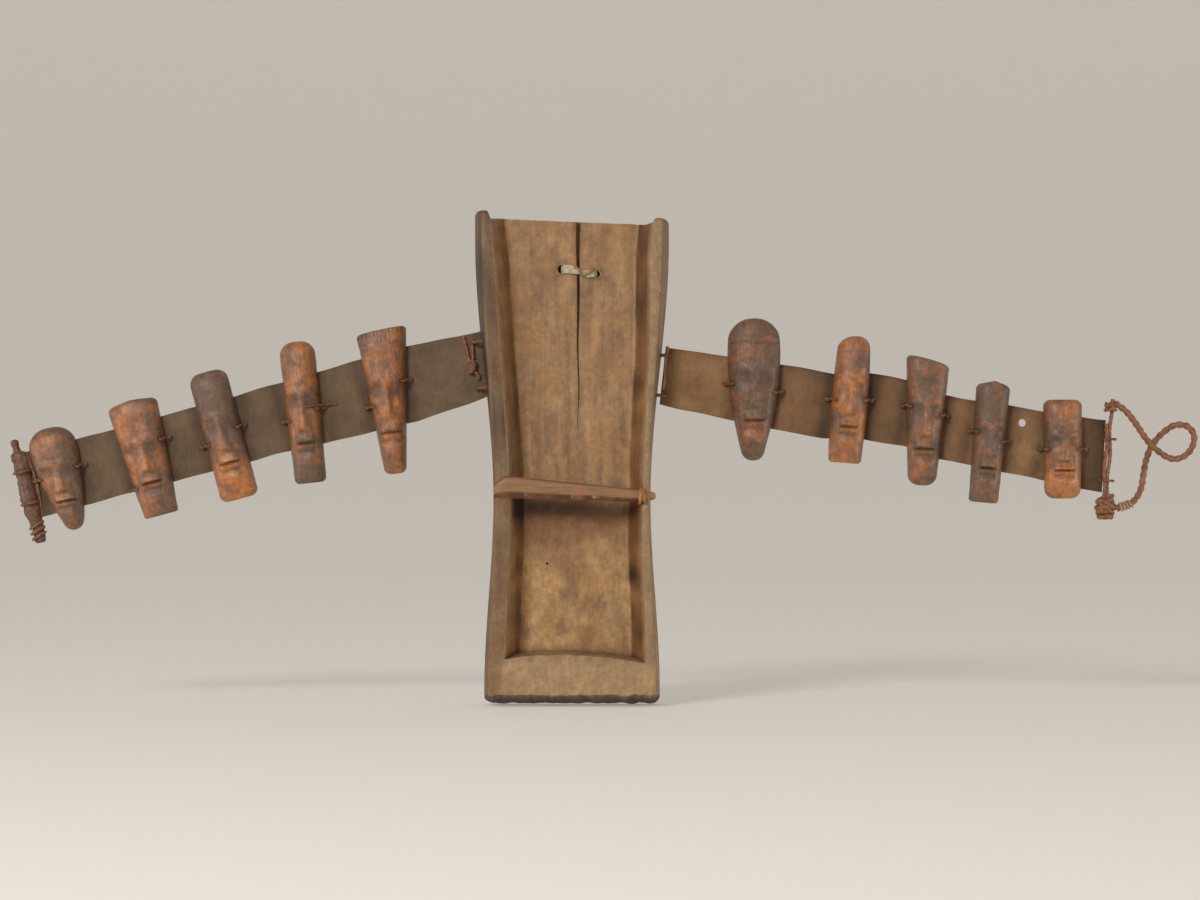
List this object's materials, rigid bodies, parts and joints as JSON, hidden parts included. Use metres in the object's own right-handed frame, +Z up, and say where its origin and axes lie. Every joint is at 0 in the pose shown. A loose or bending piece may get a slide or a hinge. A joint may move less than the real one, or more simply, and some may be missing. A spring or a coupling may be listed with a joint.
{
  "type": "belt-worn blade holder",
  "caption": "Carved wooden open-front blade holder with a retaining bar, worn on a hide belt hung with small carved head plaques and closed by a cord loop and toggle.",
  "frame": {"origin": "middle of the holder's flat back face, halfway up the block", "axes": "+X to the right along the belts, -Y out of the open front, +Z up as worn; a person looks at it along +Y"},
  "size_m": [0.7692, 0.0446, 0.32],
  "materials": {
    "carved_wood": "worn, dry",
    "stick_wood": "whittled",
    "plaque_wood": "handled, polished",
    "hide": "dry, dusty",
    "cane_cord": "split cane and cord",
    "closing_cord": "twisted cord",
    "bark_strip": "pale strip"
  },
  "bodies": {
    "holder": {"holder": "carved_wood", "cross_bar": "stick_wood", "bar_lashing": "cane_cord", "bar_peg": "stick_wood", "crack_stitch": "bark_strip", "left_root_rings": "cane_cord", "right_root_rings": "cane_cord"},
    "left_belt_1": {"left_strap_1": "hide", "left_plaque_1": "plaque_wood", "left_ties_1": "cane_cord", "left_root_cord": "cane_cord"},
    "left_belt_2": {"left_strap_2": "hide", "left_plaque_2": "plaque_wood", "left_ties_2": "cane_cord"},
    "left_belt_3": {"left_strap_3": "hide", "left_plaque_3": "plaque_wood", "left_ties_3": "cane_cord"},
    "left_belt_4": {"left_strap_4": "hide", "left_plaque_4": "plaque_wood", "left_ties_4": "cane_cord"},
    "left_belt_5": {"left_strap_5": "hide", "left_plaque_5": "plaque_wood", "left_ties_5": "cane_cord", "toggle_rings": "cane_cord", "toggle_cord": "cane_cord"},
    "right_belt_1": {"right_strap_1": "hide", "right_plaque_1": "plaque_wood", "right_ties_1": "cane_cord", "right_root_stick": "stick_wood"},
    "right_belt_2": {"right_strap_2": "hide", "right_plaque_2": "plaque_wood", "right_ties_2": "cane_cord"},
    "right_belt_3": {"right_strap_3": "hide", "right_plaque_3": "plaque_wood", "right_ties_3": "cane_cord"},
    "right_belt_4": {"right_strap_4": "hide", "right_plaque_4": "plaque_wood", "right_ties_4": "cane_cord"},
    "right_belt_5": {"right_strap_5": "hide", "right_plaque_5": "plaque_wood", "right_ties_5": "cane_cord", "loop_pin": "closing_cord", "loop_rings": "cane_cord"},
    "toggle": {"toggle_stick": "stick_wood", "toggle_whipping": "cane_cord"},
    "closing_loop": {"top_knot": "closing_cord", "foot_knot": "closing_cord", "closing_cord": "closing_cord"}
  },
  "joints": [
    {"name": "left_belt_swing", "type": "hinge", "parent": "holder", "child": "left_belt_1", "pos_m": [-0.05797, -0.008, 0.06], "axis": [0.1052, 0, -0.9945], "range_deg": [-30, 38]},
    {"name": "left_belt_curl", "type": "hinge", "parent": "left_belt_1", "child": "left_belt_2", "pos_m": [-0.1478, -0.006, 0.03593], "axis": [0.2588, 0, -0.9659], "range_deg": [-20, 25]},
    {"name": "left_belt_curl_2", "type": "hinge", "parent": "left_belt_2", "child": "left_belt_3", "pos_m": [-0.20092, -0.006, 0.02169], "axis": [0.2588, 0, -0.9659], "range_deg": [-20, 25]},
    {"name": "left_belt_curl_3", "type": "hinge", "parent": "left_belt_3", "child": "left_belt_4", "pos_m": [-0.25115, -0.006, 0.00824], "axis": [0.2588, 0, -0.9659], "range_deg": [-20, 25]},
    {"name": "left_belt_curl_4", "type": "hinge", "parent": "left_belt_4", "child": "left_belt_5", "pos_m": [-0.30331, -0.006, -0.00574], "axis": [0.2588, 0, -0.9659], "range_deg": [-20, 25]},
    {"name": "right_belt_swing", "type": "hinge", "parent": "holder", "child": "right_belt_1", "pos_m": [0.05727, -0.008, 0.053], "axis": [0.1053, 0, 0.9944], "range_deg": [-30, 38]},
    {"name": "right_belt_curl", "type": "hinge", "parent": "right_belt_1", "child": "right_belt_2", "pos_m": [0.15366, -0.006, 0.03531], "axis": [0.1805, 0, 0.9836], "range_deg": [-20, 25]},
    {"name": "right_belt_curl_2", "type": "hinge", "parent": "right_belt_2", "child": "right_belt_3", "pos_m": [0.20579, -0.006, 0.02574], "axis": [0.1805, 0, 0.9836], "range_deg": [-20, 25]},
    {"name": "right_belt_curl_3", "type": "hinge", "parent": "right_belt_3", "child": "right_belt_4", "pos_m": [0.24907, -0.006, 0.0178], "axis": [0.1805, 0, 0.9836], "range_deg": [-20, 25]},
    {"name": "right_belt_curl_4", "type": "hinge", "parent": "right_belt_4", "child": "right_belt_5", "pos_m": [0.29529, -0.006, 0.00931], "axis": [0.1805, 0, 0.9836], "range_deg": [-20, 25]},
    {"name": "toggle_turn", "type": "hinge", "parent": "left_belt_5", "child": "toggle", "pos_m": [-0.35276, -0.006, -0.0221], "axis": [-0.2419, 0, 0.9703], "range_deg": [-90, 90]},
    {"name": "loop_swing", "type": "hinge", "parent": "right_belt_5", "child": "closing_loop", "pos_m": [0.34762, -0.006, -0.00029], "axis": [0.0523, 0, 0.9986], "range_deg": [-60, 60]}
  ],
  "couplings": [
    {"joint": "left_belt_curl_2", "follows": "left_belt_curl", "ratio": 1},
    {"joint": "left_belt_curl_3", "follows": "left_belt_curl", "ratio": 1},
    {"joint": "left_belt_curl_4", "follows": "left_belt_curl", "ratio": 1},
    {"joint": "right_belt_curl_2", "follows": "right_belt_curl", "ratio": 1},
    {"joint": "right_belt_curl_3", "follows": "right_belt_curl", "ratio": 1},
    {"joint": "right_belt_curl_4", "follows": "right_belt_curl", "ratio": 1}
  ]
}
